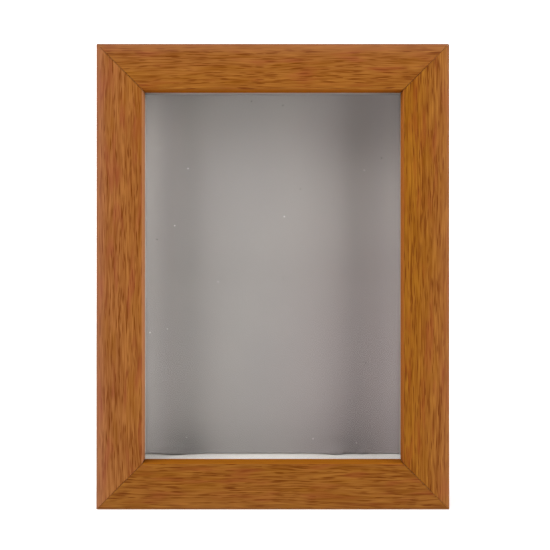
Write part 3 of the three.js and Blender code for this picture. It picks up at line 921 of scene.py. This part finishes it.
def add_back_panel():
    """Hardboard with half-round thumb notches and eased edges."""
    low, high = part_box("back_panel")
    notch = 9 * MM
    outline = [(low.x, low.z), *arc((0, low.z), notch, 180, 0, 24), (high.x, low.z)]
    outline += [(high.x, high.z), *arc((0, high.z), notch, 0, -180, 24), (low.x, high.z)]
    bm = bmesh.new()
    bm.faces.new([bm.verts.new((x, low.y, z)) for x, z in outline])
    thicken(bm, BACK * (high.y - low.y))
    bevel_sharp(bm, 0.35 * MM)
    bmesh.ops.triangulate(bm, faces=[f for f in bm.faces if len(f.verts) > 4])
    finish_piece("hardboard_back", bm, [hardboard("brown_hardboard")], "back_set", "back_panel")


# ---- hardware ----

PLATE = 0.8 * MM


def bent_plate(stations, edges, lift, holes, origin, along, across):
    """A pressed sheet-metal plate. edges gives its two sides at a station, lift how far it stands off, and
    holes are (station, radius) on its centre line."""
    bm = bmesh.new()
    rows = []
    for s in stations:
        low, high = edges(s)
        gap = 0.0
        for place, radius in holes:
            gap = max(gap, math.sqrt(max(radius**2 - (s - place) ** 2, 0)))
        line = origin + along * s + BACK * lift(s)
        left = bm.verts.new(line + across * low)
        right = bm.verts.new(line + across * high)
        if gap > 1e-7:
            inner_left = bm.verts.new(line - across * gap)
            inner_right = bm.verts.new(line + across * gap)
        else:
            inner_left = bm.verts.new(line)
            inner_right = inner_left
        rows.append((left, inner_left, inner_right, right))
    for (l0, a0, b0, r0), (l1, a1, b1, r1) in zip(rows, rows[1:]):
        bm.faces.new((l0, a0, a1, l1))
        bm.faces.new((b0, r0, r1, b1))
    bmesh.ops.remove_doubles(bm, verts=bm.verts, dist=1e-6)
    bmesh.ops.dissolve_degenerate(bm, edges=bm.edges, dist=1e-6)
    thicken(bm, BACK * PLATE)
    return bm


def smooth_step(value, start, end):
    t = min(max((value - start) / (end - start), 0), 1)
    return t * t * (3 - 2 * t)


def round_stations(centre, radius, start, end, steps):
    """Stations that follow a round end evenly, from angles in degrees."""
    return [place for place, _ in arc((centre, 0), radius, start, end, steps)]


def add_turn_buttons():
    """Zinc turn buttons: a round tail, a pressed boss round the screw and a tip turned up for a finger."""
    material = zinc("button_zinc")
    reach = 17 * MM
    tail = 4.5 * MM
    tip = 3 * MM
    bore = 1.75 * MM
    for index in range(1, 5):
        low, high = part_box(f"turn_button_{index}")
        pivot = Vector(((low.x + high.x) / 2, low.y - 0.25 * MM, high.z - tail))

        def edges(s):
            if s < 0:
                half = math.sqrt(max(tail**2 - s**2, 0))
            elif s > reach - tip:
                half = math.sqrt(max(tip**2 - (s - reach + tip) ** 2, 0))
            else:
                half = tail + (tip - tail) * s / (reach - tip)
            return -half, half

        def lift(s):
            return 1.2 * MM * smooth_step(s, reach - 5 * MM, reach)

        stations = set(round_stations(0, tail, 180, 90, 14))
        stations.update(round_stations(0, bore, 180, 0, 16))
        stations.update(bore + (reach - tip - bore) * k / 12 for k in range(1, 13))
        stations.update(round_stations(reach - tip, tip, 90, 0, 12))
        bm = bent_plate(sorted(stations), edges, lift, [(0, bore)], pivot, -UP, RIGHT)
        bevel_sharp(bm, 0.14 * MM)
        name = f"turn_button_{index}"
        finish_piece(f"{name}_pressed", bm, [material], f"button_{index}", name)


def add_button_screws():
    """Pan-head wood screws with a cross recess and a real thread."""
    material = zinc("screw_zinc", tint=(188, 190, 194))
    head = 3 * MM
    height = 1.5 * MM
    shank = 1.5 * MM
    length = 12 * MM
    pitch = 1.1 * MM
    for index in range(1, 5):
        node = f"button_screw_{index}"
        low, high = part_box(node)
        origin = Vector(((low.x + high.x) / 2, high.y - height - 0.4 * MM, (low.z + high.z) / 2))

        def thread(radius, y, share):
            if y > -1.5 * MM:
                return radius
            phase = (y / pitch + share) % 1
            return radius - 0.35 * MM * abs(2 * phase - 1) * min(1, radius / shank)

        steps = 44
        profile = [(0, -length)]
        for k in range(1, steps + 1):
            y = -length + length * k / (steps + 1)
            profile.append((shank * min(1, (y + length) / (3 * MM)) + 0.05 * MM, y))
        profile += [(shank, -0.05 * MM), (shank + 0.2 * MM, 0), (head - 0.1 * MM, 0)]
        profile += [(head * r, height * h) for r, h in ((1, 0.1), (1, 0.3), (0.96, 0.5), (0.85, 0.72))]
        profile += [(head * 0.62, height * 0.9), (head * 0.3, height * 0.98), (0, height)]
        bm = bmesh.new()
        lathe(bm, profile, origin, BACK, 28, thread)
        piece = finish_piece(f"{node}_pan_head", bm, [material], "frame", node)
        cutter = cross_cutter(origin + BACK * height, 22 + 37 * index, material)
        carve(piece, cutter)
        bpy.data.objects.remove(cutter)


def cross_cutter(top, turn_degrees, material):
    """A tapered cross for the recess in a screw head."""
    bm = bmesh.new()
    turn = Matrix.Rotation(math.radians(turn_degrees), 4, BACK)
    arm, thin, depth = 1.75 * MM, 0.36 * MM, 1.05 * MM
    outline = [(arm, thin), (thin, thin), (thin, arm)]
    points = []
    for quarter in range(4):
        for a, b in outline:
            angle = quarter * math.pi / 2
            cos, sin = math.cos(angle), math.sin(angle)
            points.append((a * cos - b * sin, a * sin + b * cos))
    rings = []
    for y, scale in ((0.5 * MM, 1.15), (-depth, 0.42)):
        ring = []
        for a, b in points:
            place = turn @ (RIGHT * a * scale + UP * b * scale)
            ring.append(bm.verts.new(top + place + BACK * y))
        rings.append(ring)
    loft(bm, rings)
    for cap in rings:
        bm.faces.new(cap)
    bmesh.ops.recalc_face_normals(bm, faces=bm.faces)
    return link_mesh("cross", bm, material)


def add_hangers():
    """Sawtooth hangers, pressed from strip: flat nailed ends and a raised, toothed middle."""
    material = zinc("hanger_zinc", grain_mm=(6, 6, 0.3))
    half = 22 * MM
    side = 4.5 * MM
    corner = 2 * MM
    raised = 13.5 * MM
    joggle = 2 * MM
    rise = 1.3 * MM
    pitch = 2.4 * MM
    tooth = 1.5 * MM
    teeth = 9
    nail_place = half - 3.6 * MM
    bore = 0.85 * MM
    teeth_start = -teeth * pitch / 2
    for node, along, across in (("hanger_top", RIGHT, UP), ("hanger_side", UP, -RIGHT)):
        low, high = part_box(node)
        middle = (low + high) / 2
        origin = Vector((middle.x, low.y - 0.28 * MM, middle.z))

        def edges(s):
            cut = max(abs(s) - (half - corner), 0)
            end = side - corner + math.sqrt(max(corner**2 - cut**2, 0))
            bottom = -end
            if abs(s) < -teeth_start:
                phase = ((s - teeth_start) / pitch) % 1
                bottom += tooth * (1 - abs(2 * phase - 1))
            return bottom, end

        def lift(s):
            return rise * (1 - smooth_step(abs(s), raised, raised + joggle))

        stations = set()
        for end in (-1, 1):
            stations.update(end * value for value in round_stations(half - corner, corner, 90, 0, 6))
            stations.update(end * value for value in round_stations(nail_place, bore, 180, 0, 10))
            stations.update(end * (raised + joggle * k / 8) for k in range(9))
        stations.update(teeth_start + pitch * k / 4 for k in range(teeth * 4 + 1))
        rounded = sorted({round(value, 8) for value in stations})
        holes = [(nail_place, bore), (-nail_place, bore)]
        bm = bent_plate(rounded, edges, lift, holes, origin, along, across)
        bevel_sharp(bm, 0.1 * MM, segments=1)
        finish_piece(f"{node}_sawtooth", bm, [material], "frame", node)


def add_hanger_nails():
    """Round-headed nails, with a shank and point that the frame hides."""
    material = brass_plate("nail_brass")
    for index in range(1, 5):
        node = f"hanger_nail_{index}"
        low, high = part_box(node)
        origin = Vector(((low.x + high.x) / 2, high.y - 0.95 * MM, (low.z + high.z) / 2))
        shank = 0.7 * MM
        head = 1.7 * MM
        profile = [(0, -10 * MM), (0.3 * MM, -9.4 * MM), (shank, -8.4 * MM), (shank, -0.02 * MM)]
        profile += [(head - 0.1 * MM, 0), (head, 0.08 * MM), (head, 0.2 * MM), (head * 0.9, 0.34 * MM)]
        profile += [(head * 0.6, 0.46 * MM), (head * 0.3, 0.5 * MM), (0, 0.51 * MM)]
        bm = bmesh.new()
        lathe(bm, profile, origin, BACK, 24)
        finish_piece(f"{node}_brass", bm, [material], "frame", node)


def add_bumpers():
    """Domed rubber bumpers, shaped to stay inside their CAD size."""
    material = bumper_rubber("bumper_rubber")
    for index in range(1, 5):
        node = f"bumper_{index}"
        low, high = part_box(node)
        origin = Vector(((low.x + high.x) / 2, low.y - 0.28 * MM, (low.z + high.z) / 2))
        height = high.y - origin.y
        radius = (high.x - low.x) / 2
        profile = [(0, 0), (radius * 0.97, 0), (radius, 0.15 * MM)]
        profile += [(r * MM, height - 1.2 * MM + h * MM) for r, h in arc((3.8, 0), 1.2, 0, 90, 8)]
        profile += [(radius * 0.4, height), (0, height - 0.05 * MM)]
        bm = bmesh.new()
        lathe(bm, profile, origin, BACK, 40)
        finish_piece(f"{node}_dome", bm, [material], "frame", node)


def dress_v_nails():
    """The V-nails keep their CAD shape."""
    material = zinc("v_nail_steel", tint=(150, 152, 156))
    for index in range(1, 9):
        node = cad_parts[f"v_nail_{index}"]
        node.data.materials.clear()
        node.data.materials.append(material)


# ---- studio ----


def add_sweep():
    """A pale floor that curves up into a backdrop far behind the object."""
    reach, depth, rise, bend = 3.0, 1.6, 2.6, 0.7
    outline = [(-2.4, 0.0), (depth - bend, 0.0)]
    for k in range(1, 17):
        angle = math.radians(90 * k / 16)
        outline.append((depth - bend + bend * math.sin(angle), bend - bend * math.cos(angle)))
    outline.append((depth, rise))
    bm = bmesh.new()
    rings = [[bm.verts.new((x, y, z)) for y, z in outline] for x in (-reach, reach)]
    loft(bm, rings, closed_section=False)
    for face in bm.faces:
        face.smooth = True
    link_mesh("studio_sweep", bm, studio_white("studio_white"))


def add_area(name, place, aim, size, power):
    """A rectangular light that the camera doesn't see."""
    data = bpy.data.lights.new(name, "AREA")
    data.shape = "RECTANGLE"
    data.size, data.size_y = size
    data.energy = power
    light = bpy.data.objects.new(name, data)
    light.location = place
    light.rotation_euler = (place - aim).to_track_quat("Z", "Y").to_euler()
    light.visible_camera = False
    bpy.context.collection.objects.link(light)


def add_light(name, azimuth, elevation, distance, size, power, target):
    """A soft rectangular light on a sphere about the target. Azimuth 0 is on the viewer's side."""
    a, e = math.radians(azimuth), math.radians(elevation)
    away = Vector((math.sin(a) * math.cos(e), -math.cos(a) * math.cos(e), math.sin(e)))
    add_area(name, target + away * distance, target, size, power)


def add_lights(target):
    """Soft light from both sides and above, and two lamps that whiten the backdrop."""
    add_light("soft_right", 57, 8, 1.3, (0.8, 0.9), 21, target)
    add_light("soft_left", -58, 8, 1.3, (0.8, 0.9), 8, target)
    add_light("high_left", -40, 45, 1.3, (0.7, 0.7), 9.7, target)
    add_light("top", 0, 62, 1.3, (0.9, 0.7), 4, target)
    for side in (-1, 1):
        spot = Vector((side * 0.8, 0.5, 1.5))
        aim = Vector((side * 0.3, 1.6, 0.5))
        add_area("backdrop_lamp", spot, aim, (0.8, 0.8), 10)
    world = bpy.data.worlds.new("studio_air")
    world.use_nodes = True
    tree = world.node_tree
    dim = tree.nodes["Background"]
    dim.inputs["Color"].default_value = (1, 1, 1, 1)
    dim.inputs["Strength"].default_value = 0.06
    pale = tree.nodes.new("ShaderNodeBackground")
    pale.inputs["Color"].default_value = (1, 1, 1, 1)
    seen = tree.nodes.new("ShaderNodeLightPath")
    choose = tree.nodes.new("ShaderNodeMixShader")
    tree.links.new(seen.outputs["Is Camera Ray"], choose.inputs["Fac"])
    tree.links.new(dim.outputs["Background"], choose.inputs[1])
    tree.links.new(pale.outputs["Background"], choose.inputs[2])
    tree.links.new(choose.outputs["Shader"], tree.nodes["World Output"].inputs["Surface"])
    bpy.context.scene.world = world


def add_camera(low, high):
    """A level camera in front of the object, with a small shift in place of a tilt."""
    middle = (low + high) / 2
    data = bpy.data.cameras.new("camera")
    data.sensor_width = SENSOR_WIDTH_MM
    data.lens = SENSOR_WIDTH_MM * CAMERA_DISTANCE / VIEW_WIDTH
    data.shift_x = VIEW_LEFT - CAMERA_ASIDE / VIEW_WIDTH
    data.shift_y = VIEW_DROP - CAMERA_RISE / VIEW_WIDTH
    data.clip_start = 0.01
    data.clip_end = 20
    camera = bpy.data.objects.new("camera", data)
    camera.location = (middle.x + CAMERA_ASIDE, low.y - CAMERA_DISTANCE, middle.z + CAMERA_RISE)
    camera.rotation_euler = (math.pi / 2, 0, 0)
    bpy.context.collection.objects.link(camera)
    bpy.context.scene.camera = camera
    bpy.context.scene.view_settings.view_transform = "Standard"


add_camera(*cad_box)
add_sweep()
add_lights((cad_box[0] + cad_box[1]) / 2)
add_rails()
add_glass()
add_spacers()
add_facing()
add_board()
add_back_panel()
add_turn_buttons()
add_button_screws()
add_hangers()
add_hanger_nails()
add_bumpers()
dress_v_nails()
